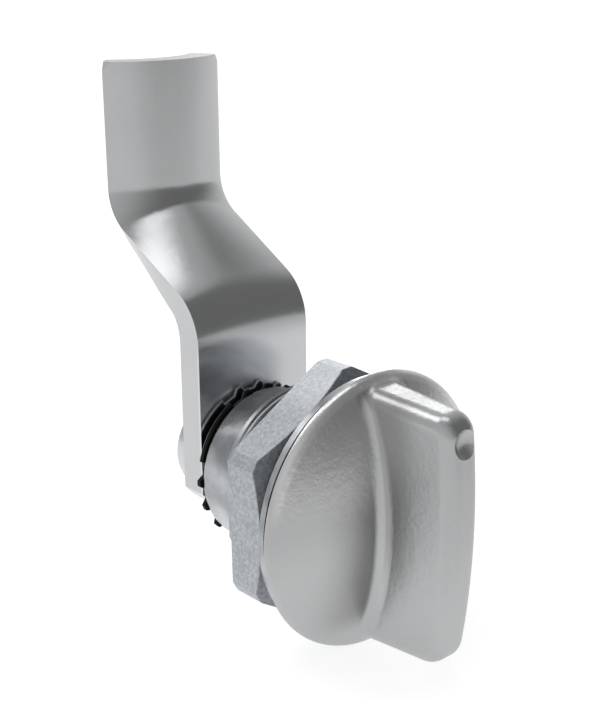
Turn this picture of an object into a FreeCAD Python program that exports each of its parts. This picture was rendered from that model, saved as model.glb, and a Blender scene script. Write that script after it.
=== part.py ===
import FreeCAD, Part
import math
import os
import re

import Sketcher
from FreeCAD import Placement, Rotation, Vector

# Quarter-turn cam latch for a sheet-metal door.
# The latch axis is Y: the wing knob faces -Y, the cam is on the +Y side and points up (+Z) when open.
# The origin lies on the axis in the rear face of the flange, which seats on the door.
# All sizes are in millimetres and degrees.

SIZES = [
    # Knob: a domed disc with a grip wing, cast in one piece with its spindle
    ("knob_radius", 15.55, "outside radius of the knob's disc"),
    ("knob_gap", 0.3, "running gap between knob and flange"),
    ("knob_edge", 0.58, "height of the disc's side, under the dome"),
    ("dome_radius", 33.5, "radius of the domed front"),
    ("rim_round", 0.85, "rounding of the disc's front edge"),
    ("wing_rise", 8.89, "top of the dome to the front of the wing"),
    ("wing_inset", 0.9, "edge of the disc to the end of the wing, at the rear face of the disc"),
    ("wing_front_inset", 1.65, "the same, at the front of the wing"),
    ("wing_thickness", 5.72, "thickness of the wing at the rear face of the disc"),
    ("wing_front_thickness", 4.4, "thickness of the wing at its front"),
    ("wing_bow", 83, "radius of the wing's bowed front"),
    ("wing_bow_height", 2.5, "height of the most forward point of that bow above the axis"),
    ("wing_top_corner", 2.4, "rounding of the wing's front corner above the axis"),
    ("wing_bottom_corner", 3, "rounding of the one below the axis"),
    ("wing_round", 1.7, "rounding of the wing's long edges"),
    ("wing_root", 1.5, "hollow between wing and dome"),
    ("dimple_inset", 4.2, "edge of the disc to the middle of the position mark"),
    ("dimple_radius", 2.1, "radius of the ball that makes the position mark"),
    ("dimple_depth", 0.75, "depth of the position mark"),
    # Spindle
    ("spindle_radius", 6, "journal that turns in the housing"),
    ("spindle_square", 8, "square that drives the stop washer and the cam"),
    ("spindle_recess", 0.3, "how far the square ends short of the cam's rear face"),
    ("seal_groove_front", 4, "flange face to the front of the spindle's seal groove"),
    ("seal_groove_width", 2.2, "width of the spindle's seal groove"),
    ("seal_groove_depth", 1.5, "depth of the spindle's seal groove"),
    ("tapped_depth", 12.5, "depth of the screw's hole in the spindle"),
    ("drill_tip", 1.5, "depth of the cone at the bottom of that hole"),
    # Clearances
    ("bore_clearance", 0.05, "radial clearance of the spindle in the housing"),
    ("square_clearance", 0.05, "clearance on each side of the square"),
    ("thread_clearance", 0.05, "radial clearance in the threads"),
    ("washer_gap", 0.05, "running gap between housing and stop washer"),
    ("stop_clearance", 0.3, "clearance round the stop tab in its recess"),
    # Housing: flange and threaded barrel, cast in one piece
    ("flange_inset", 0.78, "edge of the knob's disc to the edge of the flange"),
    ("flange_rim", 0.75, "thickness of the flange at its edge"),
    ("flange_face", 1.44, "thickness of the flange under the knob"),
    ("flange_step", 0.87, "edge of the flange to the raised face under the knob"),
    ("flange_bevel", 0.35, "bevel round the raised face"),
    ("barrel_radius", 11, "outside radius of the threaded part of the barrel"),
    ("barrel_flats", 19.9, "distance across the barrel's two flats"),
    ("barrel_step", 10.9, "flange to the end of the threaded part"),
    ("barrel_rear_radius", 9.15, "radius of the plain rear part of the barrel"),
    ("barrel_length", 16.7, "flange to the rear end of the barrel"),
    ("barrel_round", 0.5, "rounding of the barrel's rear edge"),
    ("bore_bevel", 0.4, "bevel at both ends of the bore"),
    # Panel seal in the rear face of the flange
    ("panel_seal_inset", 1.77, "edge of the flange to the middle of the panel seal"),
    ("panel_seal_width", 1.3, "width of the panel seal"),
    ("panel_seal_depth", 0.8, "depth of the panel seal's groove"),
    ("panel_seal_clearance", 0.05, "clearance on each side of the panel seal"),
    # Nut
    ("nut_flats", 27, "width across the nut's flats"),
    ("nut_thickness", 4.86, "thickness of the nut"),
    ("nut_gap", 1.26, "space between flange and nut, for the door's sheet"),
    ("nut_turn", 0.8, "how far the nut is turned from corner up"),
    ("nut_corner_radius", 15.2, "radius to which the nut's corners are turned off"),
    ("nut_face_radius", 13.6, "radius at which the chamfer of the front face starts"),
    ("nut_chamfer", 28, "angle of that chamfer"),
    ("nut_bore_bevel", 0.6, "bevel at both ends of the nut's thread"),
    # Stop washer
    ("stop_thickness", 0.65, "thickness of the toothed disc"),
    ("stop_radius", 9.25, "radius of the two plain lands"),
    ("stop_valley_radius", 8.65, "radius between the teeth"),
    ("stop_root_depth", 0.3, "how far teeth and lands run into the disc"),
    ("stop_tooth_radius", 9.4, "radius over the teeth"),
    ("stop_teeth", 6, "teeth on each side, between the lands"),
    ("stop_pitch", 20, "angle from tooth to tooth"),
    ("stop_tooth_root", 15, "width of a tooth at its root, as an angle"),
    ("stop_tooth_tip", 4, "width of a tooth at its tip, as an angle"),
    ("stop_land_middle", 142, "angle of the middle of the first plain land"),
    ("stop_land_width", 48, "width of a plain land, as an angle"),
    ("stop_edge", 0.1, "bevel of the disc's rear edge"),
    ("stop_hub_radius", 8, "radius of the hub that the cam seats on"),
    ("stop_hub", 0.6, "height of that hub"),
    ("tab_inner", 7.2, "inner radius of the stop tab"),
    ("tab_outer", 8.3, "outer radius of the stop tab"),
    ("tab_width", 20, "width of the stop tab, as an angle"),
    ("tab_depth", 1.6, "how far the stop tab reaches into the barrel"),
    ("turn", 90, "travel of the knob"),
    # Cam
    ("cam_thickness", 3.42, "thickness of the cam"),
    ("cam_width", 16.2, "width of the cam's flat foot"),
    ("heel_reach", 6.4, "axis to the lower end of the cam"),
    ("heel_radius", 10.2, "radius of the cam's lower end"),
    ("crank_corner", 19.27, "axis to where foot and slope would meet"),
    ("crank_offset", 16.17, "offset of the tip's edges from the foot"),
    ("crank_angle", 60.9, "angle of the slope from upright"),
    ("crank_lower_radius", 6.8, "radius of the lower bend on the front face"),
    ("crank_upper_radius", 5.3, "radius of the upper bend on the front face"),
    ("crank_lead", 1, "straight lead before and after the two bends"),
    ("tip_width", 16.72, "width of the tip"),
    ("tip_bow", 3.2, "how far the middle of the tip stands forward of its edges"),
    ("tip_top", 45.78, "axis to the end of the tip"),
    ("tip_chamfer", 0.9, "chamfer of the tip's two corners"),
    # Lock washer and screw
    ("lock_radius", 5.9, "outside radius of the spring lock washer"),
    ("lock_bore", 3.05, "inside radius of the spring lock washer"),
    ("lock_thickness", 1.6, "thickness of the spring lock washer"),
    ("lock_split", 0.8, "width of its split"),
    ("screw_radius", 3, "outside radius of the screw's thread"),
    ("screw_length", 12, "length of the screw under its head"),
    ("head_radius", 6, "radius of the screw's head"),
    ("head_side", 2.6, "height of the side of the head"),
    ("head_height", 4.6, "height of the head"),
    ("head_crown", 9, "radius of the crown of the head"),
    ("head_shoulder", 1.1, "how far in from the side the crown starts"),
    ("head_round", 1.76, "radius of the arc between side and crown"),
    ("recess_length", 6.4, "length of the arms of the cross recess"),
    ("recess_width", 1.5, "width of the arms of the cross recess"),
    ("recess_depth", 2.8, "depth of the cross recess"),
    ("recess_draft", 8, "draft angle of the cross recess"),
    ("screw_point", 0.5, "bevel of the screw's end"),
    # Spindle seal
    ("ring_clearance", 0.05, "clearance of the seal ring in its groove and in the bore"),
    # Cutting outlines
    ("cut_margin", 1, "how far a cutting outline stands beyond what it cuts"),
]

BEND_STEPS = 6      # steps from section to section along each bend of the cam
SLOPE_STEPS = 10    # and along the slope between them
TOUCH = 0.001       # closer than this counts as the same place

doc = FreeCAD.newDocument("quarter_turn_cam_latch")
sheet = doc.addObject("Spreadsheet::Sheet", "Sizes")
for row, (alias, number, note) in enumerate(SIZES, start=1):
    sheet.set("A%d" % row, note)
    sheet.set("B%d" % row, str(number))
    sheet.setAlias("B%d" % row, alias)
doc.recompute()

NAMES = {alias for alias, number, note in SIZES}


def bound(text):
    """An expression in which each name of a size stands for its cell."""
    return re.sub(r"[a-z_]+", lambda m: "Sizes." + m[0] if m[0] in NAMES else m[0], text)


def value(text):
    """The number that an expression gives now."""
    return float(sheet.evalExpression(bound(text)))


# Places along the axis that several pieces share, measured from the flange's rear face:
# the first three towards the knob, the others towards the cam
KNOB_REAR = "(flange_face + knob_gap)"
DOME_TOP = "(%s + knob_edge + dome_radius - sqrt(dome_radius^2 - knob_radius^2))" % KNOB_REAR
WING_FRONT = "(%s + wing_rise)" % DOME_TOP
SHOULDER = "(barrel_length + washer_gap)"
CAM_FRONT = "(%s + stop_thickness + stop_hub)" % SHOULDER
CAM_REAR = "(%s + cam_thickness)" % CAM_FRONT
SPINDLE_END = "(%s - spindle_recess)" % CAM_REAR
SCREW_SEAT = "(%s + lock_thickness)" % CAM_REAR

# Half lengths and radii that follow from the knob's disc
WING_HALF = "(knob_radius - wing_inset)"
WING_FRONT_HALF = "(knob_radius - wing_front_inset)"
DIMPLE_HEIGHT = "(knob_radius - dimple_inset)"
FLANGE_RADIUS = "(knob_radius - flange_inset)"
FACE_RADIUS = "(%s - flange_step)" % FLANGE_RADIUS
SEAL_RADIUS = "(%s - panel_seal_inset)" % FLANGE_RADIUS

# The cam's tip: its front edges, and the heights there at which the foot ends and the tip starts
TIP_FRONT = "(%s + crank_offset)" % CAM_FRONT
FOOT_TOP = "(crank_corner - crank_lower_radius * tan(crank_angle / 2))"
TIP_BOTTOM = "(crank_corner + crank_offset / tan(crank_angle) + crank_upper_radius * tan(crank_angle / 2))"


# Sketches

def new_body(name):
    body = doc.addObject("PartDesign::Body", name)
    body.Label = name
    return body


def sketch_on(body, plane, name, offset="0"):
    """A sketch on one of the body's origin planes, moved along that plane's normal."""
    sketch = body.newObject("Sketcher::SketchObject", name)
    origin = next(feature for feature in body.Origin.OriginFeatures if feature.Role == plane)
    sketch.AttachmentSupport = [(origin, "")]
    sketch.MapMode = "FlatFace"
    if offset != "0":
        sketch.setExpression("AttachmentOffset.Base.z", bound(offset))
    return sketch


def dimension(sketch, kind, places, text):
    """One dimension of a sketch, tied to the sheet."""
    index = sketch.addConstraint(Sketcher.Constraint(kind, *places, value(text)))
    sketch.setExpression("Constraints[%d]" % index, bound(text))


def pin(sketch, edge, end, across, up):
    """Ties one end of an edge to its two coordinates."""
    if across == "0":
        sketch.addConstraint(Sketcher.Constraint("PointOnObject", edge, end, -2))
    else:
        dimension(sketch, "DistanceX", (-1, 1, edge, end), across)
    if up == "0":
        sketch.addConstraint(Sketcher.Constraint("PointOnObject", edge, end, -1))
    else:
        dimension(sketch, "DistanceY", (-1, 1, edge, end), up)


def outline(sketch, corners):
    """A closed outline. A corner is (across, up), and a third entry is the radius of an arc to the
    next corner: with a minus sign in front, the arc bulges to the left of the way round."""
    points = [Vector(value(corner[0]), value(corner[1]), 0) for corner in corners]
    first_edge = sketch.GeometryCount
    ends = []
    for index, corner in enumerate(corners):
        start, finish = points[index], points[(index + 1) % len(points)]
        if len(corner) == 2:
            sketch.addGeometry(Part.LineSegment(start, finish), False)
            ends.append((1, 2))
            continue
        to_left = corner[2].startswith("-")
        radius = corner[2][1:] if to_left else corner[2]
        chord = finish - start
        side = Vector(-chord.y, chord.x, 0) if to_left else Vector(chord.y, -chord.x, 0)
        side.normalize()
        rise = value(radius) - math.sqrt(value(radius) ** 2 - (chord.Length / 2) ** 2)
        middle = (start + finish) * 0.5 + side * rise
        edge = sketch.addGeometry(Part.Arc(start, middle, finish), False)
        ends.append((2, 1) if to_left else (1, 2))
        dimension(sketch, "Radius", (edge,), radius)
    for index, corner in enumerate(corners):
        edge = first_edge + index
        after = first_edge + (index + 1) % len(corners)
        leaving, arriving = ends[index][1], ends[(index + 1) % len(corners)][0]
        sketch.addConstraint(Sketcher.Constraint("Coincident", edge, leaving, after, arriving))
        pin(sketch, edge, ends[index][0], corner[0], corner[1])


def box_outline(sketch, low_across, low_up, high_across, high_up):
    outline(sketch, [(low_across, low_up), (high_across, low_up),
                     (high_across, high_up), (low_across, high_up)])


def circle(sketch, across, up, radius):
    centre = Vector(value(across), value(up), 0)
    edge = sketch.addGeometry(Part.Circle(centre, Vector(0, 0, 1), value(radius)), False)
    pin(sketch, edge, 3, across, up)
    dimension(sketch, "Radius", (edge,), radius)


def polar(radius, angle):
    return "(%s) * cos(%s)" % (radius, angle), "(%s) * sin(%s)" % (radius, angle)


def sector(sketch, inner, outer, from_angle, to_angle):
    """A ring sector of less than half a turn."""
    outline(sketch, [polar(inner, from_angle),
                     polar(outer, from_angle) + (outer,),
                     polar(outer, to_angle),
                     polar(inner, to_angle) + ("-" + inner,)])


# Features

def revolve(body, name, corners):
    """A solid of revolution about the latch axis. Corners are (radius, place along the axis)."""
    sketch = sketch_on(body, "XY_Plane", name + "_section")
    outline(sketch, corners)
    feature = body.newObject("PartDesign::Revolution", name)
    feature.Profile = sketch
    feature.ReferenceAxis = (sketch, ["V_Axis"])
    feature.Angle = 360
    return feature


def turn_out(body, name, corners):
    """The same outline, cut away all round."""
    sketch = sketch_on(body, "XY_Plane", name + "_section")
    outline(sketch, corners)
    feature = body.newObject("PartDesign::Groove", name)
    feature.Profile = sketch
    feature.ReferenceAxis = (sketch, ["V_Axis"])
    feature.Angle = 360
    return feature


def pad(body, name, sketch, length, towards_rear=True):
    """Pads a sketch that lies across the latch axis."""
    feature = body.newObject("PartDesign::Pad", name)
    feature.Profile = sketch
    feature.setExpression("Length", bound(length))
    feature.Reversed = towards_rear
    return feature


def pocket(body, name, sketch, length, towards_rear=True):
    """Cuts a sketch that lies across the latch axis."""
    feature = body.newObject("PartDesign::Pocket", name)
    feature.Profile = sketch
    feature.setExpression("Length", bound(length))
    feature.Reversed = not towards_rear
    return feature


def cut_through(body, name, sketch):
    """Cuts a sketch right through, both ways."""
    feature = body.newObject("PartDesign::Pocket", name)
    feature.Profile = sketch
    feature.Type = 1
    feature.Midplane = True
    return feature


def dress_edges(body, kind, name, size, wanted):
    """Dresses the edges of the body's last feature that a test picks out."""
    doc.recompute()
    base = body.Tip
    picked = ["Edge%d" % number for number, edge in enumerate(base.Shape.Edges, start=1) if wanted(edge)]
    if not picked:
        raise RuntimeError("%s finds no edge" % name)
    feature = body.newObject("PartDesign::" + kind, name)
    feature.Base = (base, picked)
    feature.setExpression("Radius" if kind == "Fillet" else "Size", bound(size))
    return feature


def round_edges(body, name, radius, wanted):
    return dress_edges(body, "Fillet", name, radius, wanted)


def bevel_edges(body, name, size, wanted):
    return dress_edges(body, "Chamfer", name, size, wanted)


def middle_of(edge):
    return edge.valueAt((edge.FirstParameter + edge.LastParameter) / 2)


def off_axis(point):
    return math.hypot(point.x, point.z)


# Knob, with its spindle

def cast_knob():
    body = new_body("wing_knob")
    revolve(body, "disc_and_spindle", [
        ("0", "-" + DOME_TOP, "dome_radius"),
        ("knob_radius", "-(%s + knob_edge)" % KNOB_REAR),
        ("knob_radius", "-" + KNOB_REAR),
        ("spindle_radius", "-" + KNOB_REAR),
        ("spindle_radius", SHOULDER),
        ("0", SHOULDER)])

    root = sketch_on(body, "XZ_Plane", "wing_root_outline", KNOB_REAR)
    box_outline(root, "-wing_thickness / 2", "-" + WING_HALF, "wing_thickness / 2", WING_HALF)
    blunt = sketch_on(body, "XZ_Plane", "wing_front_outline", WING_FRONT)
    box_outline(blunt, "-wing_front_thickness / 2", "-" + WING_FRONT_HALF,
                "wing_front_thickness / 2", WING_FRONT_HALF)
    wing = body.newObject("PartDesign::AdditiveLoft", "wing")
    wing.Profile = root
    wing.Sections = [blunt]

    bow = sketch_on(body, "YZ_Plane", "wing_bow_outline")
    reach = "(2 * %s)" % WING_HALF
    bow_top, bow_bottom = "wing_bow_height + " + reach, "wing_bow_height - " + reach
    bow_end = "(wing_bow - sqrt(wing_bow^2 - %s^2) - %s)" % (reach, WING_FRONT)
    beyond = "-(%s + cut_margin)" % WING_FRONT
    outline(bow, [
        (bow_end, bow_top),
        (beyond, bow_top),
        (beyond, bow_bottom),
        (bow_end, bow_bottom, "-wing_bow")])
    cut_through(body, "wing_bow", bow)

    dome_top = -value(DOME_TOP)
    dome_centre = Vector(0, value("dome_radius - " + DOME_TOP), 0)
    dome_radius, knob_radius = value("dome_radius"), value("knob_radius")
    for name, side in (("wing_top_corner", 1), ("wing_bottom_corner", -1)):
        round_edges(body, name, name,
                    lambda e, side=side: abs(middle_of(e).x) < TOUCH and middle_of(e).y < dome_top
                    and middle_of(e).z * side > knob_radius / 2)
    round_edges(body, "wing_edges", "wing_round",
                lambda e: abs(middle_of(e).x) > TOUCH and middle_of(e).y < dome_top)
    round_edges(body, "rim", "rim_round",
                lambda e: abs(off_axis(middle_of(e)) - knob_radius) < TOUCH
                and abs((middle_of(e) - dome_centre).Length - dome_radius) < TOUCH)
    wing_side = value("wing_thickness") / 2
    round_edges(body, "wing_hollow", "wing_root",
                lambda e: abs((middle_of(e) - dome_centre).Length - dome_radius) < TOUCH
                and TOUCH < abs(middle_of(e).x) < wing_side)

    mark = body.newObject("PartDesign::SubtractiveSphere", "position_mark")
    mark.setExpression("Radius", bound("dimple_radius"))
    mark.setExpression("Placement.Base.z", bound(DIMPLE_HEIGHT))
    mark.setExpression("Placement.Base.y", bound(
        "wing_bow - sqrt(wing_bow^2 - (%s - wing_bow_height)^2) - %s - dimple_radius + dimple_depth"
        % (DIMPLE_HEIGHT, WING_FRONT)))

    square = sketch_on(body, "XZ_Plane", "square_outline", "-" + SHOULDER)
    box_outline(square, "-spindle_square / 2", "-spindle_square / 2",
                "spindle_square / 2", "spindle_square / 2")
    pad(body, "square", square, "%s - %s" % (SPINDLE_END, SHOULDER))
    turn_out(body, "seal_groove", [
        ("spindle_radius - seal_groove_depth", "seal_groove_front"),
        ("spindle_radius + cut_margin", "seal_groove_front"),
        ("spindle_radius + cut_margin", "seal_groove_front + seal_groove_width"),
        ("spindle_radius - seal_groove_depth", "seal_groove_front + seal_groove_width")])
    turn_out(body, "tapped_hole", [
        ("0", "%s - tapped_depth - drill_tip" % SPINDLE_END),
        ("screw_radius + thread_clearance", "%s - tapped_depth" % SPINDLE_END),
        ("screw_radius + thread_clearance", SPINDLE_END),
        ("0", SPINDLE_END)])
    return body


# Seal ring in the spindle's groove

def mould_spindle_seal():
    body = new_body("spindle_seal")
    inner = "(spindle_radius - seal_groove_depth + ring_clearance)"
    outer = "spindle_radius"
    sketch = sketch_on(body, "XY_Plane", "ring_section")
    circle(sketch, "(%s + %s) / 2" % (inner, outer), "seal_groove_front + seal_groove_width / 2",
           "(%s - %s) / 2" % (outer, inner))
    ring = body.newObject("PartDesign::Revolution", "ring")
    ring.Profile = sketch
    ring.ReferenceAxis = (sketch, ["V_Axis"])
    ring.Angle = 360
    return body


# Housing

def cast_housing():
    body = new_body("housing")
    bore = "(spindle_radius + bore_clearance)"
    revolve(body, "flange_and_barrel", [
        (bore, "-flange_face + bore_bevel"),
        ("%s + bore_bevel" % bore, "-flange_face"),
        (FACE_RADIUS + " - flange_bevel", "-flange_face"),
        (FACE_RADIUS, "-flange_face + flange_bevel"),
        (FACE_RADIUS, "-flange_rim"),
        (FLANGE_RADIUS, "-flange_rim"),
        (FLANGE_RADIUS, "0"),
        ("barrel_radius", "0"),
        ("barrel_radius", "barrel_step"),
        ("barrel_rear_radius", "barrel_step"),
        ("barrel_rear_radius", "barrel_length - barrel_round", "barrel_round"),
        ("barrel_rear_radius - barrel_round", "barrel_length"),
        ("%s + bore_bevel" % bore, "barrel_length"),
        (bore, "barrel_length - bore_bevel")])

    flats = sketch_on(body, "XZ_Plane", "flats_outline")
    box_outline(flats, "barrel_flats / 2", "-barrel_radius", "barrel_radius + cut_margin", "barrel_radius")
    box_outline(flats, "-barrel_radius - cut_margin", "-barrel_radius", "-barrel_flats / 2", "barrel_radius")
    pocket(body, "flats", flats, "barrel_step")

    groove_half = "(panel_seal_width / 2 + panel_seal_clearance)"
    turn_out(body, "panel_seal_groove", [
        ("%s - %s" % (SEAL_RADIUS, groove_half), "-panel_seal_depth"),
        ("%s + %s" % (SEAL_RADIUS, groove_half), "-panel_seal_depth"),
        ("%s + %s" % (SEAL_RADIUS, groove_half), "0"),
        ("%s - %s" % (SEAL_RADIUS, groove_half), "0")])

    recess = sketch_on(body, "XZ_Plane", "stop_recess_outline", "-barrel_length")
    spare = "(tab_width / 2 + stop_clearance / tab_inner * 180 / pi)"
    sector(recess, "(tab_inner - stop_clearance)", "(tab_outer + stop_clearance)",
           "(stop_land_middle - turn - %s)" % spare, "(stop_land_middle + %s)" % spare)
    pocket(body, "stop_recess", recess, "tab_depth + stop_clearance", towards_rear=False)
    return body


# Seal in the rear face of the flange, at its squeezed height

def cut_panel_seal():
    body = new_body("panel_seal")
    revolve(body, "ring", [
        (SEAL_RADIUS + " - panel_seal_width / 2", "-panel_seal_depth"),
        (SEAL_RADIUS + " + panel_seal_width / 2", "-panel_seal_depth"),
        (SEAL_RADIUS + " + panel_seal_width / 2", "0"),
        (SEAL_RADIUS + " - panel_seal_width / 2", "0")])
    return body


# Nut

def press_nut():
    body = new_body("hex_nut")
    corner_radius = "(nut_flats / 2 / cos(30))"
    bore = "(barrel_radius + thread_clearance)"
    blank = sketch_on(body, "XZ_Plane", "nut_outline", "-nut_gap")
    outline(blank, [polar(corner_radius, "(90 + nut_turn + %d)" % (60 * side)) for side in range(6)])
    circle(blank, "0", "0", bore)
    pad(body, "blank", blank, "nut_thickness")

    rear = "(nut_gap + nut_thickness)"
    outside = "(%s + cut_margin)" % corner_radius
    turn_out(body, "corner_turning", [
        ("nut_corner_radius", "nut_gap"),
        (outside, "nut_gap"),
        (outside, rear),
        ("nut_corner_radius", rear)])
    turn_out(body, "front_chamfer", [
        ("nut_face_radius", "nut_gap"),
        (outside, "nut_gap"),
        (outside, "nut_gap + (%s - nut_face_radius) * tan(nut_chamfer)" % outside)])
    turn_out(body, "front_bore_bevel", [
        (bore, "nut_gap"),
        ("%s + nut_bore_bevel" % bore, "nut_gap"),
        (bore, "nut_gap + nut_bore_bevel")])
    turn_out(body, "rear_bore_bevel", [
        (bore, rear),
        (bore, "%s - nut_bore_bevel" % rear),
        ("%s + nut_bore_bevel" % bore, rear)])
    return body


# Stop washer: a toothed disc with a tab that limits the turn

def stamp_stop_washer():
    body = new_body("stop_washer")
    hole = "(spindle_square / 2 + square_clearance)"
    disc = sketch_on(body, "XZ_Plane", "disc_outline", "-" + SHOULDER)
    circle(disc, "0", "0", "stop_valley_radius")
    pad(body, "disc", disc, "stop_thickness")

    root = "(stop_valley_radius - stop_root_depth)"
    for number, middle in enumerate(("stop_land_middle", "(stop_land_middle + 180)")):
        land = sketch_on(body, "XZ_Plane", "land_outline_%d" % number, "-" + SHOULDER)
        sector(land, root, "stop_radius",
               "(%s - stop_land_width / 2)" % middle, "(%s + stop_land_width / 2)" % middle)
        pad(body, "land_%d" % number, land, "stop_thickness")

        first = "(%s + 90 - (stop_teeth - 1) * stop_pitch / 2)" % middle
        tooth = sketch_on(body, "XZ_Plane", "tooth_outline_%d" % number, "-" + SHOULDER)
        outline(tooth, [
            polar(root, "(%s - stop_tooth_root / 2)" % first),
            polar("stop_tooth_radius", "(%s - stop_tooth_tip / 2)" % first) + ("stop_tooth_radius",),
            polar("stop_tooth_radius", "(%s + stop_tooth_tip / 2)" % first),
            polar(root, "(%s + stop_tooth_root / 2)" % first)])
        first_tooth = pad(body, "tooth_%d" % number, tooth, "stop_thickness")
        teeth = body.newObject("PartDesign::PolarPattern", "teeth_%d" % number)
        teeth.Originals = [first_tooth]
        teeth.Axis = (tooth, ["N_Axis"])
        teeth.setExpression("Angle", bound("(stop_teeth - 1) * stop_pitch"))
        teeth.setExpression("Occurrences", bound("stop_teeth"))
        body.Tip = teeth

    disc_rear = value("%s + stop_thickness" % SHOULDER)
    bevel_edges(body, "disc_edge", "stop_edge",
                lambda e: abs(middle_of(e).y - disc_rear) < TOUCH and e.BoundBox.YLength < TOUCH)

    hub = sketch_on(body, "XZ_Plane", "hub_outline", "-" + SHOULDER)
    circle(hub, "0", "0", "stop_hub_radius")
    pad(body, "hub", hub, "stop_thickness + stop_hub")
    tab = sketch_on(body, "XZ_Plane", "tab_outline", "-(%s + stop_thickness / 2)" % SHOULDER)
    sector(tab, "tab_inner", "tab_outer",
           "(stop_land_middle - tab_width / 2)", "(stop_land_middle + tab_width / 2)")
    pad(body, "tab", tab, "tab_depth + washer_gap + stop_thickness / 2", towards_rear=False)

    square = sketch_on(body, "XZ_Plane", "square_hole_outline")
    box_outline(square, "-" + hole, "-" + hole, hole, hole)
    cut_through(body, "square_hole", square)
    return body


# Cam: a flat foot, a slope between two bends, and a tip bowed like a gutter

def eased(share):
    """The share with a level start and end, so that the bow sets in and ends without a kink."""
    return share * share * (3 - 2 * share)


def crank_places():
    """Where the crank's sections stand, from foot to tip: the place along the axis and the height
    of the front edges, the angle from upright, and the share of the way, all as expressions."""
    lower_end = ("(%s + crank_lower_radius * (1 - cos(crank_angle)))" % CAM_FRONT,
                 "(%s + crank_lower_radius * sin(crank_angle))" % FOOT_TOP)
    upper_start = ("(%s - crank_upper_radius * (1 - cos(crank_angle)))" % TIP_FRONT,
                   "(%s - crank_upper_radius * sin(crank_angle))" % TIP_BOTTOM)
    places = [(CAM_FRONT, FOOT_TOP + " - crank_lead", "0")]
    for step in range(BEND_STEPS + 1):
        bend = "(crank_angle * %d / %d)" % (step, BEND_STEPS)
        places.append(("%s + crank_lower_radius * (1 - cos(%s))" % (CAM_FRONT, bend),
                       "%s + crank_lower_radius * sin(%s)" % (FOOT_TOP, bend), bend))
    for step in range(1, SLOPE_STEPS):
        along, height = ("%s + (%s - %s) * %d / %d" % (low, high, low, step, SLOPE_STEPS)
                         for low, high in zip(lower_end, upper_start))
        places.append((along, height, "crank_angle"))
    for step in range(BEND_STEPS, -1, -1):
        bend = "(crank_angle * %d / %d)" % (step, BEND_STEPS)
        places.append(("%s - crank_upper_radius * (1 - cos(%s))" % (TIP_FRONT, bend),
                       "%s - crank_upper_radius * sin(%s)" % (TIP_BOTTOM, bend), bend))
    places.append((TIP_FRONT, TIP_BOTTOM + " + crank_lead", "0"))
    steps = 2 * BEND_STEPS + SLOPE_STEPS
    shares = [0] + [eased(step / steps) for step in range(steps + 1)] + [1]
    return [place + (share,) for place, share in zip(places, shares)]


def bowed_section(body, name, along, height, angle, share):
    """A plate's cross-section, with its front edges at the place given. The share, from 0 to 1,
    is how far it has gone from the flat foot to the bowed tip."""
    sketch = sketch_on(body, "XY_Plane", name)
    sketch.AttachmentOffset = Placement(Vector(), Rotation(Vector(-1, 0, 0), value(angle)))
    sketch.setExpression("AttachmentOffset.Base.y", bound(along))
    sketch.setExpression("AttachmentOffset.Base.z", bound(height))
    if angle != "0":
        sketch.setExpression("AttachmentOffset.Rotation.Angle", bound(angle))
    half = "(cam_width / 2 + (tip_width - cam_width) / 2 * %s)" % share
    if share == 0:
        box_outline(sketch, "-" + half, "0", half, "cam_thickness")
        return sketch
    bow = "(tip_bow * %s)" % share
    radius = "((%s^2 + %s^2) / (2 * %s))" % (half, bow, bow)
    rear_half = "(%s - cam_thickness * %s / %s)" % (half, half, radius)
    rear_edge = "(cam_thickness * (%s - %s) / %s)" % (radius, bow, radius)
    outline(sketch, [
        ("-" + half, "0", radius),
        (half, "0"),
        (rear_half, rear_edge, "-(%s - cam_thickness)" % radius),
        ("-" + rear_half, rear_edge)])
    return sketch


def form_cam():
    body = new_body("cam")
    heel_up = "-(heel_reach - heel_radius + sqrt(heel_radius^2 - (cam_width / 2)^2))"
    foot = sketch_on(body, "XZ_Plane", "foot_outline", "-" + CAM_FRONT)
    outline(foot, [
        ("-cam_width / 2", heel_up, "heel_radius"),
        ("cam_width / 2", heel_up),
        ("cam_width / 2", FOOT_TOP + " - crank_lead"),
        ("-cam_width / 2", FOOT_TOP + " - crank_lead")])
    hole = "(spindle_square / 2 + square_clearance)"
    box_outline(foot, "-" + hole, "-" + hole, hole, hole)
    pad(body, "foot", foot, "cam_thickness")

    sections = [bowed_section(body, "crank_section_%d" % number, *place)
                for number, place in enumerate(crank_places())]
    crank = body.newObject("PartDesign::AdditiveLoft", "crank")
    crank.Profile = sections[0]
    crank.Sections = sections[1:]

    tip = bowed_section(body, "tip_section", *crank_places()[-1])
    rise = body.newObject("PartDesign::Pad", "tip")
    rise.Profile = tip
    rise.setExpression("Length", bound("tip_top - %s - crank_lead" % TIP_BOTTOM))

    corners = sketch_on(body, "XZ_Plane", "tip_corner_outline")
    for sign in ("-", ""):
        outline(corners, [
            (sign + "(tip_width / 2 - tip_chamfer)", "tip_top"),
            (sign + "(tip_width / 2 + cut_margin)", "tip_top - tip_chamfer - cut_margin"),
            (sign + "(tip_width / 2 + cut_margin)", "tip_top + cut_margin"),
            (sign + "(tip_width / 2 - tip_chamfer)", "tip_top + cut_margin")])
    cut_through(body, "tip_corners", corners)
    return body


# Spring lock washer

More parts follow.
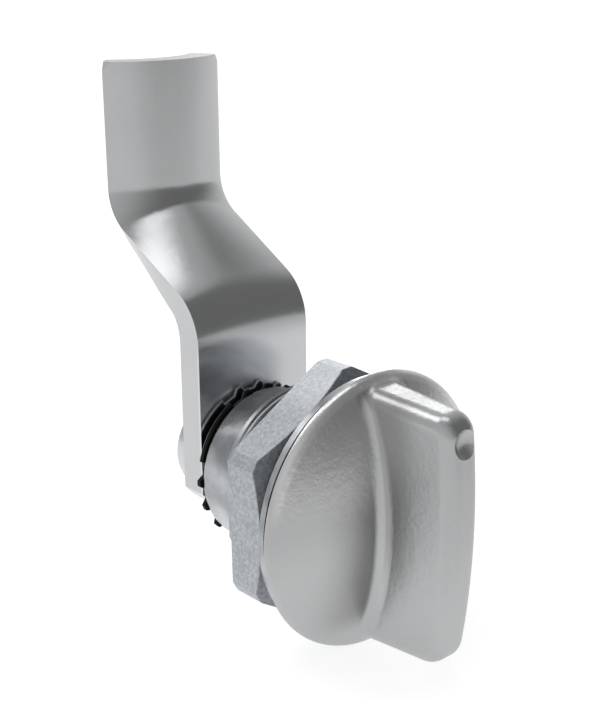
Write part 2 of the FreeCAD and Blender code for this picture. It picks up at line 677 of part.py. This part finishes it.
def coil_lock_washer():
    body = new_body("lock_washer")
    revolve(body, "ring", [
        ("lock_bore", CAM_REAR),
        ("lock_radius", CAM_REAR),
        ("lock_radius", SCREW_SEAT),
        ("lock_bore", SCREW_SEAT)])
    split = sketch_on(body, "YZ_Plane", "split_outline")
    slope = "(lock_thickness / 2 + cut_margin)"
    front, rear = CAM_REAR + " - cut_margin", SCREW_SEAT + " + cut_margin"
    outline(split, [
        (front, "-lock_split / 2 - " + slope),
        (rear, "-lock_split / 2 + " + slope),
        (rear, "lock_split / 2 + " + slope),
        (front, "lock_split / 2 - " + slope)])
    cut = body.newObject("PartDesign::Pocket", "split")
    cut.Profile = split
    cut.setExpression("Length", bound("lock_radius + cut_margin"))
    cut.Reversed = True
    return body


# Screw

def head_screw():
    body = new_body("cam_screw")
    top = "(%s + head_height)" % SCREW_SEAT
    shoulder = "(head_radius - head_shoulder)"
    crown_fall = "(head_crown - sqrt(head_crown^2 - %s^2))" % shoulder
    revolve(body, "head_and_shank", [
        ("0", "%s - screw_length" % SCREW_SEAT),
        ("screw_radius - screw_point", "%s - screw_length" % SCREW_SEAT),
        ("screw_radius", "%s - screw_length + screw_point" % SCREW_SEAT),
        ("screw_radius", SCREW_SEAT),
        ("head_radius", SCREW_SEAT),
        ("head_radius", "%s + head_side" % SCREW_SEAT, "head_round"),
        (shoulder, "%s - %s" % (top, crown_fall), "head_crown"),
        ("0", top)])
    cross = sketch_on(body, "XZ_Plane", "cross_outline", "-" + top)
    arm, half = "(recess_length / 2)", "(recess_width / 2)"
    outline(cross, [
        (half, arm), ("-" + half, arm), ("-" + half, half), ("-" + arm, half),
        ("-" + arm, "-" + half), ("-" + half, "-" + half), ("-" + half, "-" + arm), (half, "-" + arm),
        (half, "-" + half), (arm, "-" + half), (arm, half), (half, half)])
    recess = pocket(body, "cross_recess", cross, "recess_depth", towards_rear=False)
    recess.setExpression("TaperAngle", bound("-recess_draft"))
    return body


bodies = [
    cast_knob(),
    mould_spindle_seal(),
    cast_housing(),
    cut_panel_seal(),
    press_nut(),
    stamp_stop_washer(),
    form_cam(),
    coil_lock_washer(),
    head_screw(),
]
doc.recompute()

for obj in doc.Objects:
    if "Invalid" in obj.State or "Error" in obj.State:
        raise RuntimeError("%s (%s) is %s" % (obj.Label, obj.Name, obj.State))
for body in bodies:
    if body.Shape.isNull() or not body.Shape.isValid():
        raise RuntimeError("%s has no valid shape" % body.Label)
    box = body.Shape.BoundBox
    print("%-14s solids %d  volume %9.2f  X %.2f..%.2f  Y %.2f..%.2f  Z %.2f..%.2f" % (
        body.Label, len(body.Shape.Solids), body.Shape.Volume,
        box.XMin, box.XMax, box.YMin, box.YMax, box.ZMin, box.ZMax))

os.makedirs("parts", exist_ok=True)
for body in bodies:
    body.Shape.exportStep("parts/%s.step" % body.Label)
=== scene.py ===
import math

import bpy
from mathutils import Matrix, Vector


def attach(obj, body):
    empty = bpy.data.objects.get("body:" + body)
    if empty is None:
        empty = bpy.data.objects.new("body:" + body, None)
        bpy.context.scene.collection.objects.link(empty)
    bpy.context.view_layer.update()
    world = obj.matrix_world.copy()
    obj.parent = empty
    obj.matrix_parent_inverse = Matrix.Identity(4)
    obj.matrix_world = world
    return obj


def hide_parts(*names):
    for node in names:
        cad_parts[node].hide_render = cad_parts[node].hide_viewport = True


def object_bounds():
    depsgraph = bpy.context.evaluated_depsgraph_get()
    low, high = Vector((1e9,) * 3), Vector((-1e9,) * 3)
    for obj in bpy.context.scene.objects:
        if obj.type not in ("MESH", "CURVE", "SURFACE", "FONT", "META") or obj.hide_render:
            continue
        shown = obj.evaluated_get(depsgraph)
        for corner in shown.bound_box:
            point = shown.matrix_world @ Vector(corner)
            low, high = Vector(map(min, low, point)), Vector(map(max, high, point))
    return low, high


# Quarter-turn cam latch, dressed for the picture.
# Metres, in the CAD model's frame: the latch axis is Y, the knob faces -Y and the cam points up.

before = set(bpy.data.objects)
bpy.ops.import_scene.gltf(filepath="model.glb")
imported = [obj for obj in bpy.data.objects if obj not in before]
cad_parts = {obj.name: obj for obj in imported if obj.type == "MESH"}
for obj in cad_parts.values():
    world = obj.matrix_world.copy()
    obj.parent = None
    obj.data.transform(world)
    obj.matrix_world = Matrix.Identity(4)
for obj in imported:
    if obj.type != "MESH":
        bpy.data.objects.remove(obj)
cad_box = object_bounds()

MM = 0.001

# Camera, as it stood for the photograph
IMAGE_WIDTH, IMAGE_HEIGHT = 600, 720
EYE = Vector((-92.09, -93.47, 59.30)) * MM
YAW, PITCH, ROLL = 41.29, 17.67, -0.52     # to the right of +Y, downwards, anticlockwise
FOCAL_PIXELS = 1305                        # focal length in pixels of the picture
CENTRE_PIXEL = (291.8, 351.4)              # where the lens axis meets the picture
SENSOR = 36
NEAREST = 1 * MM                           # what is nearer to the camera isn't drawn

# A pair of numbers, from here on, is where a tone or a form starts and where it is full.
# The second may be the lower of the two.

# Floor. Its glow lifts it to white for the camera, and reflections show a share of that glow.
FLOOR_GAP = 0.05 * MM
FLOOR_REACH = 1.5
FLOOR_LEVEL, FLOOR_GLOW = 0.6, 0.76
GLOSSY_SHARE = 0.5
NEAR_SHARE, NEAR_REACH = 0.26, (58 * MM, 10 * MM)     # more of it close by
PALE_SIDE, PALE_SHARE = 100, 0.26                     # more of it towards this azimuth
PALE_SPREAD = (0.5, 0.9)                              # by the cosine of the angle from there
DARK_SIDE, DARK_SHARE = -62, 0.19                     # less of it towards this one
DARK_SPREAD, DARK_REACH = (0.6, 1), (70 * MM, 190 * MM)

# Studio: azimuth from +X to +Y and elevation in degrees, angles from there to where a light
# is full and where it ends, and its level over the dark room
ROOM_LEVEL = 0.18
STUDIO_LIGHTS = [
    (60, 81, 6, 21, 1.5),                  # overhead
    (-8, 67, 3, 14, 0.32),                 # its right end
    (114, 54, 8, 15, 2.2),                 # behind
    (118, 40, 4, 14, 0.7),                 # its left end
    (46, 20, 6, 9, 3.3),                   # behind at the right
    (-178, -5, 10, 110, 0.42),             # left wall
    (50, 2, 10, 80, 0.5),                  # right wall
]

# Knob's painted highlight, painted light and painted shade, by distance from the axis, from the
# wing's middle, along the axis (depth) and by height
RIM_HIGHLIGHT_INSIDE = (14.4 * MM, 14.9 * MM)        # painted highlight: a bright line on the disc's rim
RIM_HIGHLIGHT_OUTSIDE = (15.6 * MM, 15.2 * MM)
RIM_HIGHLIGHT_DEPTH = (-3.2 * MM, -2.6 * MM)
RIM_HIGHLIGHT_HEIGHT = (2 * MM, 9 * MM)
DOME_SIDE = (3.5 * MM, 4 * MM)             # the dome, beside the wing
DOME_LIGHT_HEIGHT = (1 * MM, 11 * MM)           # its upper part, made paler: painted light
ROOT_SHADE_SIDE = (11 * MM, 4 * MM)              # painted shade: a darker strip of the dome along the wing's root
ROOT_SHADE_TOP = (10 * MM, 1 * MM)
ROOT_SHADE_BOTTOM = (-13 * MM, -9 * MM)
FLANK_SHADE_SIDE = (3 * MM, 2.8 * MM)            # painted shade: a darker foot of the wing's flanks
FLANK_SHADE_DEPTH = (-11 * MM, -7 * MM)
FLANK_SHADE_HEIGHT = (-8 * MM, 0)

# Housing: the thread on its barrel, by distance from the axis and along it
THREAD_CREST = (10.9 * MM, 10.95 * MM)
THREAD_START = (0.3 * MM, 1.3 * MM)
THREAD_END = (10.4 * MM, 9.4 * MM)
THREAD_PITCH, THREAD_DEPTH = 1.5 * MM, 0.8 * MM

# Nut
NUT_FACE = 13.6 * MM                       # radius of the flat front, inside the chamfer
NUT_CHAMFER = math.tan(math.radians(28))
NUT_SHADED_FRONT = (1.46 * MM, 1.31 * MM)         # painted shade: darker front and chamfer, where the flange shades them, along the axis
NUT_LIT_UPPER = (10.5 * MM, 14 * MM)           # painted light: a paler upper end, by height

# Stop washer: the painted highlight on its rear edge, by distance from the axis and along it
EDGE_HIGHLIGHT_RADIUS = (8.5 * MM, 8.55 * MM)
EDGE_HIGHLIGHT_FRONT = (17.26 * MM, 17.29 * MM)
EDGE_HIGHLIGHT_REAR = (17.399 * MM, 17.394 * MM)

# Cam
CAM_FRONT = 18 * MM
CAM_REAR = CAM_FRONT + 3.4 * MM
BEND_START = 15.4 * MM                     # height at which the foot starts to bend
RIDGE = 0.03 * MM                          # more than the height of the ridge on the foot
MERGE_DISTANCE = 0.002 * MM
SHARP_ANGLE = math.radians(30)
FOOT_LIGHT_DEPTH = (18.4 * MM, 18.1 * MM)        # painted light: a paler front of the foot, along the axis
FOOT_LIGHT_HEIGHT = (16.4 * MM, 13.4 * MM)
GRINDING = (1, 0.06, 0.06)                 # scales that draw the polishing lines out


class Value:
    """A number that varies over a surface. Arithmetic on it adds Math nodes."""

    def __init__(self, nodes, socket):
        self.nodes = nodes
        self.socket = socket

    def math(self, operation, *others):
        inputs = dict(enumerate((self,) + others))
        return self.nodes.value("ShaderNodeMath", {"operation": operation}, inputs)

    def __add__(self, other):
        return self.math("ADD", other)

    __radd__ = __add__

    def __mul__(self, other):
        return self.math("MULTIPLY", other)

    __rmul__ = __mul__

    def __sub__(self, other):
        return self.math("SUBTRACT", other)

    def __rsub__(self, other):
        return self * -1 + other

    def __truediv__(self, other):
        return self.math("DIVIDE", other)

    def __pow__(self, other):
        return self.math("POWER", other)

    def within(self, start, full):
        """Rises smoothly from 0 at start to 1 at full, which may be the lower of the two."""
        inputs = {"Value": self, "From Min": start, "From Max": full}
        return self.nodes.value("ShaderNodeMapRange", {"interpolation_type": "SMOOTHSTEP"}, inputs)


class Nodes:
    """The nodes of one material or of the world."""

    def __init__(self, owner):
        owner.use_nodes = True
        self.tree = owner.node_tree

    def node(self, kind, settings=None, inputs=None):
        node = self.tree.nodes.new(kind)
        for name, setting in (settings or {}).items():
            setattr(node, name, setting)
        for name, given in (inputs or {}).items():
            self.feed(node.inputs[name], given)
        return node

    def feed(self, socket, given):
        if isinstance(given, Value):
            self.tree.links.new(given.socket, socket)
        elif isinstance(given, bpy.types.NodeSocket):
            self.tree.links.new(given, socket)
        else:
            socket.default_value = given

    def value(self, kind, settings=None, inputs=None, output=0):
        return Value(self, self.node(kind, settings, inputs).outputs[output])

    def place(self):
        """The place on the piece, and its three coordinates, in metres."""
        place = self.node("ShaderNodeTexCoord").outputs["Object"]
        parts = self.node("ShaderNodeSeparateXYZ", None, {0: place})
        return (place,) + tuple(Value(self, parts.outputs[axis]) for axis in "XYZ")

    def stretched(self, place, scale):
        """The place, with each coordinate times its own scale."""
        return self.node("ShaderNodeMapping", None, {"Vector": place, "Scale": scale}).outputs[0]

    def noise(self, place, scale, detail=2, roughness=0.5):
        inputs = {"Vector": place, "Scale": scale, "Detail": detail, "Roughness": roughness}
        return self.value("ShaderNodeTexNoise", None, inputs, "Fac")

    def blend(self, factor, low, high):
        """A colour between two others."""
        node = self.node("ShaderNodeMix", {"data_type": "RGBA"})
        self.feed(node.inputs[0], factor)
        self.feed(node.inputs[6], low)
        self.feed(node.inputs[7], high)
        return node.outputs[2]

    def relief(self, height, depth, strength=1, under=None):
        """A relief whose height runs from 0 to 1, that many metres deep, on the one under it."""
        inputs = {"Height": height, "Distance": depth, "Strength": strength}
        if under is not None:
            inputs["Normal"] = under
        return self.node("ShaderNodeBump", None, inputs).outputs["Normal"]


class Finish(Nodes):
    """The material of a finish. Its settings are the shader's inputs that don't vary."""

    def __init__(self, name, **settings):
        self.material = bpy.data.materials.new(name)
        super().__init__(self.material)
        self.shader = self.tree.nodes["Principled BSDF"]
        self.apply(**settings)

    def apply(self, **inputs):
        for name, given in inputs.items():
            self.feed(self.shader.inputs[name.replace("_", " ")], given)


def grey(level, warmth=0):
    """A near-neutral colour: warmth above 0 turns it yellow, below 0 blue."""
    return (level * (1 + warmth), level, level * (1 - warmth), 1)


def length(a, b):
    """How far a place is from the axis or point that two of its coordinates count from."""
    return (a * a + b * b) ** 0.5


def satin_nickel():
    """The knob: zinc casting, satin nickel plated, with a fine cast grain, painted shade along the
    wing's root and flanks, painted light on the dome's upper part and a painted highlight on the
    rim.
    """
    finish = Finish("satin_nickel", Metallic=1)
    place, x, y, z = finish.place()
    grain = finish.noise(place, scale=3000, roughness=0.6)
    cloud = finish.noise(place, scale=160, detail=3)
    peel = finish.noise(place, scale=1300)

    radius, side = length(x, z), x.math("ABSOLUTE")
    dome = side.within(*DOME_SIDE)
    rim_highlight = radius.within(*RIM_HIGHLIGHT_INSIDE) * radius.within(*RIM_HIGHLIGHT_OUTSIDE)
    rim_highlight = rim_highlight * y.within(*RIM_HIGHLIGHT_DEPTH) * z.within(*RIM_HIGHLIGHT_HEIGHT)
    root_shade = dome * side.within(*ROOT_SHADE_SIDE) * z.within(*ROOT_SHADE_TOP) * z.within(*ROOT_SHADE_BOTTOM)
    # painted shade at the foot of the wing's flanks
    flank_shade = side.within(*FLANK_SHADE_SIDE) * y.within(*FLANK_SHADE_DEPTH) * z.within(*FLANK_SHADE_HEIGHT)
    painted_light_upper = dome * z.within(*DOME_LIGHT_HEIGHT)

    colour = finish.blend(cloud * 0.3 + grain * 0.7, grey(0.55, -0.01), grey(0.625, -0.01))
    # painted shade: darker along the wing's root and at the foot of its flanks
    colour = finish.blend(root_shade + flank_shade * 0.65, colour, grey(0.35))
    # painted light: the dome's upper part paler
    colour = finish.blend(painted_light_upper * 0.8, colour, grey(0.85))
    # painted highlight: the bright line on the rim
    colour = finish.blend(rim_highlight, colour, grey(0.97))
    finish.apply(Base_Color=colour, Roughness=cloud * 0.05 + grain * 0.05 + 0.26,
                 Normal=finish.relief(grain * 0.4 + peel * 0.6, depth=0.052 * MM, strength=0.9))
    return finish.material


def bright_nickel():
    """The housing: zinc casting, nickel plated, with the barrel's thread as a relief."""
    finish = Finish("bright_nickel", Metallic=1)
    place, x, y, z = finish.place()
    cloud = finish.noise(place, scale=300, detail=3).within(0.3, 0.68)
    ripple = finish.noise(place, scale=330)

    turn = z.math("ARCTAN2", x) / (2 * math.pi)
    thread = (y / THREAD_PITCH - turn).math("PINGPONG", 0.5) * 2
    threaded = length(x, z).within(*THREAD_CREST)
    threaded = threaded * y.within(*THREAD_START) * y.within(*THREAD_END)

    cast = finish.relief(ripple, depth=0.1 * MM, strength=0.7)
    finish.apply(Base_Color=finish.blend(cloud, grey(0.37, -0.045), grey(0.58, -0.03)),
                 Roughness=cloud * 0.08 + 0.24,
                 Normal=finish.relief(thread * threaded, depth=THREAD_DEPTH, under=cast))
    return finish.material


def galvanised_steel():
    """The nut: galvanised, with a fine mottled grain, painted shade on its front and painted light
    on its upper end.
    """
    finish = Finish("galvanised_steel", Metallic=1)
    place, x, y, z = finish.place()
    grain = finish.noise(place, scale=6500, roughness=0.7)
    spots = finish.noise(place, scale=2400, roughness=0.6)
    mottle = (grain * 0.4 + spots * 0.6).within(0.3, 0.7)

    chamfer = (length(x, z) - NUT_FACE).math("MAXIMUM", 0) * NUT_CHAMFER
    sides = finish.blend(mottle, grey(0.47, -0.055), grey(0.73, -0.045))
    painted_light_upper = finish.blend(mottle, grey(0.7, -0.04), grey(0.96, -0.03))
    shaded_front = finish.blend(mottle, grey(0.28, -0.06), grey(0.5, -0.06))
    # painted light: the upper end paler
    colour = finish.blend(z.within(*NUT_LIT_UPPER), sides, painted_light_upper)
    # painted shade: the front and chamfer darker, where the flange shades them
    colour = finish.blend((y - chamfer).within(*NUT_SHADED_FRONT), colour, shaded_front)
    finish.apply(Base_Color=colour, Roughness=grain * 0.2 + 0.48,
                 Normal=finish.relief(mottle, depth=0.02 * MM, strength=0.6))
    return finish.material


def black_steel():
    """The stop washer: blackened, with a bright line along its rear edge as a painted highlight.
    """
    finish = Finish("black_steel", Specular_IOR_Level=0.15)
    place, x, y, z = finish.place()
    grain = finish.noise(place, scale=900, detail=3)
    # painted highlight: a bright bare-steel line along the rear edge
    edge_highlight = y.within(*EDGE_HIGHLIGHT_FRONT) * y.within(*EDGE_HIGHLIGHT_REAR) * length(x, z).within(*EDGE_HIGHLIGHT_RADIUS)
    finish.apply(Base_Color=finish.blend(edge_highlight, grey(0.006), grey(0.97)), Metallic=edge_highlight,
                 Roughness=grain * 0.1 + 0.4,
                 Normal=finish.relief(grain, depth=0.01 * MM, strength=0.6))
    return finish.material


def polished_steel():
    """The cam: stainless strip, satin polished along its length, with painted light on the front
    of its foot.
    """
    finish = Finish("polished_steel", Metallic=1)
    place, x, y, z = finish.place()
    cloud = finish.noise(place, scale=110, detail=3)
    lines = finish.noise(finish.stretched(place, GRINDING), scale=2600)
    # painted light: the front of the foot paler
    lit_foot = z.within(*FOOT_LIGHT_HEIGHT) * y.within(*FOOT_LIGHT_DEPTH)
    colour = finish.blend(cloud, grey(0.57, -0.012), grey(0.67, -0.012))
    finish.apply(Base_Color=finish.blend(lit_foot * 0.8, colour, grey(0.82, -0.02)),
                 Roughness=cloud * 0.04 + lines * 0.05 + 0.17,
                 Normal=finish.relief(lines, depth=0.002 * MM, strength=0.4))
    return finish.material


def zinc_plated_steel():
    """The screw and its lock washer: bright zinc plated."""
    finish = Finish("zinc_plated_steel", Metallic=1)
    place, x, y, z = finish.place()
    cloud = finish.noise(place, scale=300, detail=3)
    grain = finish.noise(place, scale=2400)
    finish.apply(Base_Color=finish.blend(cloud, grey(0.64, -0.03), grey(0.78, -0.01)),
                 Roughness=cloud * 0.1 + grain * 0.08 + 0.2,
                 Normal=finish.relief(grain, depth=0.006 * MM, strength=0.5))
    return finish.material


def seal_rubber():
    """The two seals: black nitrile rubber, matt."""
    finish = Finish("seal_rubber", Metallic=0)
    place, x, y, z = finish.place()
    grain = finish.noise(place, scale=1800, detail=3)
    finish.apply(Base_Color=finish.blend(grain, grey(0.014), grey(0.03)),
                 Roughness=grain * 0.2 + 0.55,
                 Normal=finish.relief(grain, depth=0.02 * MM, strength=0.5))
    return finish.material


def dress_nodes():
    """Gives each CAD piece its finish."""
    finishes = {
        satin_nickel: ["wing_knob"],
        bright_nickel: ["housing"],
        galvanised_steel: ["hex_nut"],
        black_steel: ["stop_washer"],
        polished_steel: ["cam"],
        zinc_plated_steel: ["lock_washer", "cam_screw"],
        seal_rubber: ["spindle_seal", "panel_seal"],
    }
    for finish, names in finishes.items():
        material = finish()
        for name in names:
            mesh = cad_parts[name].data
            mesh.materials.clear()
            mesh.materials.append(material)


def smooth_cam():
    """The cam once more, without the faint ridge below the bend of its foot's faces."""
    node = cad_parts["cam"]
    bpy.ops.object.select_all(action="DESELECT")
    cam = bpy.data.objects.new("smooth_cam", node.data.copy())
    bpy.context.scene.collection.objects.link(cam)
    bpy.context.view_layer.objects.active = cam
    cam.select_set(True)
    bpy.ops.mesh.customdata_custom_splitnormals_clear()
    bpy.ops.object.mode_set(mode="EDIT")
    bpy.ops.mesh.select_all(action="SELECT")
    bpy.ops.mesh.remove_doubles(threshold=MERGE_DISTANCE)
    bpy.ops.object.mode_set(mode="OBJECT")
    for vertex in cam.data.vertices:
        for face in (CAM_FRONT, CAM_REAR):
            if vertex.co.z < BEND_START and abs(vertex.co.y - face) < RIDGE:
                vertex.co.y = face
    bpy.ops.object.shade_smooth_by_angle(angle=SHARP_ANGLE)
    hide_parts("cam")
    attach(cam, "rotor")


def set_camera():
    """The camera where it stood, looking along its yaw, pitch and roll."""
    yaw, pitch, roll = (math.radians(angle) for angle in (YAW, PITCH, ROLL))
    ahead = Vector((math.sin(yaw) * math.cos(pitch),
                    math.cos(yaw) * math.cos(pitch), -math.sin(pitch)))
    level = Vector((math.cos(yaw), -math.sin(yaw), 0))
    over = level.cross(ahead)
    right = level * math.cos(roll) + over * math.sin(roll)
    up = over * math.cos(roll) - level * math.sin(roll)

    data = bpy.data.cameras.new("camera")
    data.sensor_width = SENSOR
    data.lens = FOCAL_PIXELS / IMAGE_HEIGHT * SENSOR
    data.shift_x = (IMAGE_WIDTH / 2 - CENTRE_PIXEL[0]) / IMAGE_HEIGHT
    data.shift_y = (CENTRE_PIXEL[1] - IMAGE_HEIGHT / 2) / IMAGE_HEIGHT
    data.clip_start = NEAREST
    camera = bpy.data.objects.new("camera", data)
    bpy.context.scene.collection.objects.link(camera)
    turned = Matrix((right, up, -ahead)).transposed()
    camera.matrix_world = Matrix.Translation(EYE) @ turned.to_4x4()
    bpy.context.scene.camera = camera


def towards(azimuth, elevation=0):
    """The direction at an azimuth, counted from +X to +Y, and an elevation, in degrees."""
    azimuth, elevation = math.radians(azimuth), math.radians(elevation)
    return Vector((math.cos(azimuth) * math.cos(elevation),
                   math.sin(azimuth) * math.cos(elevation), math.sin(elevation)))


def lay_floor():
    """A pale floor that keeps the latch's shadow, white where nothing shades it."""
    bpy.ops.object.select_all(action="DESELECT")
    bottom = cad_box[0][2] - FLOOR_GAP
    bpy.ops.mesh.primitive_plane_add(size=2 * FLOOR_REACH, location=(0, 0, bottom))
    floor = bpy.context.object
    floor.name = "floor"

    paper = Finish("floor_paper", Base_Color=grey(FLOOR_LEVEL), Roughness=0.9,
                   Specular_IOR_Level=0)
    glow = paper.node("ShaderNodeEmission", None, {"Color": grey(1), "Strength": FLOOR_GLOW})
    lifted = paper.node("ShaderNodeAddShader", None, {
        0: paper.shader.outputs[0], 1: glow.outputs[0]})
    path = paper.node("ShaderNodeLightPath")
    camera, glossy = (Value(paper, path.outputs[ray])
                      for ray in ("Is Camera Ray", "Is Glossy Ray"))

    place, x, y, z = paper.place()
    distance = length(x, y) + MM           # never 0, as the directions are divided by it
    pale, dark = ((x * side.x + y * side.y) / distance
                  for side in (towards(PALE_SIDE), towards(DARK_SIDE)))
    dimmer = dark.within(*DARK_SPREAD) * distance.within(*DARK_REACH) * DARK_SHARE
    paler = pale.within(*PALE_SPREAD) * PALE_SHARE
    nearer = distance.within(*NEAR_REACH) * NEAR_SHARE
    mixed = paper.node("ShaderNodeMixShader", None, {
        0: camera + glossy * (paler + nearer - dimmer + GLOSSY_SHARE),
        1: paper.shader.outputs[0], 2: lifted.outputs[0]})
    out = paper.tree.nodes["Material Output"]
    paper.feed(out.inputs["Surface"], mixed.outputs[0])
    floor.data.materials.append(paper.material)


def light_studio():
    """A light tent: soft lights overhead, behind and at the right, paler walls left and right,
    and a dark room in front. The camera sees it white."""
    world = bpy.data.worlds.new("studio")
    bpy.context.scene.world = world
    nodes = Nodes(world)
    nodes.tree.nodes.clear()
    direction = nodes.node("ShaderNodeTexCoord").outputs["Generated"]
    light = ROOM_LEVEL
    for azimuth, elevation, full, end, level in STUDIO_LIGHTS:
        nearness = nodes.value("ShaderNodeVectorMath", {"operation": "DOT_PRODUCT"}, {
            0: direction, 1: towards(azimuth, elevation)}, "Value")
        start, full = (math.cos(math.radians(angle)) for angle in (end, full))
        light = nearness.within(start, full) * level + light

    path = nodes.node("ShaderNodeLightPath")
    lit, white = (nodes.node("ShaderNodeBackground", None, {"Color": grey(1), "Strength": level})
                  for level in (light, 1))
    mixed = nodes.node("ShaderNodeMixShader", None, {
        0: path.outputs["Is Camera Ray"], 1: lit.outputs[0], 2: white.outputs[0]})
    nodes.node("ShaderNodeOutputWorld", None, {"Surface": mixed.outputs[0]})


dress_nodes()
smooth_cam()
set_camera()
lay_floor()
light_studio()
bpy.context.scene.view_settings.view_transform = "Standard"
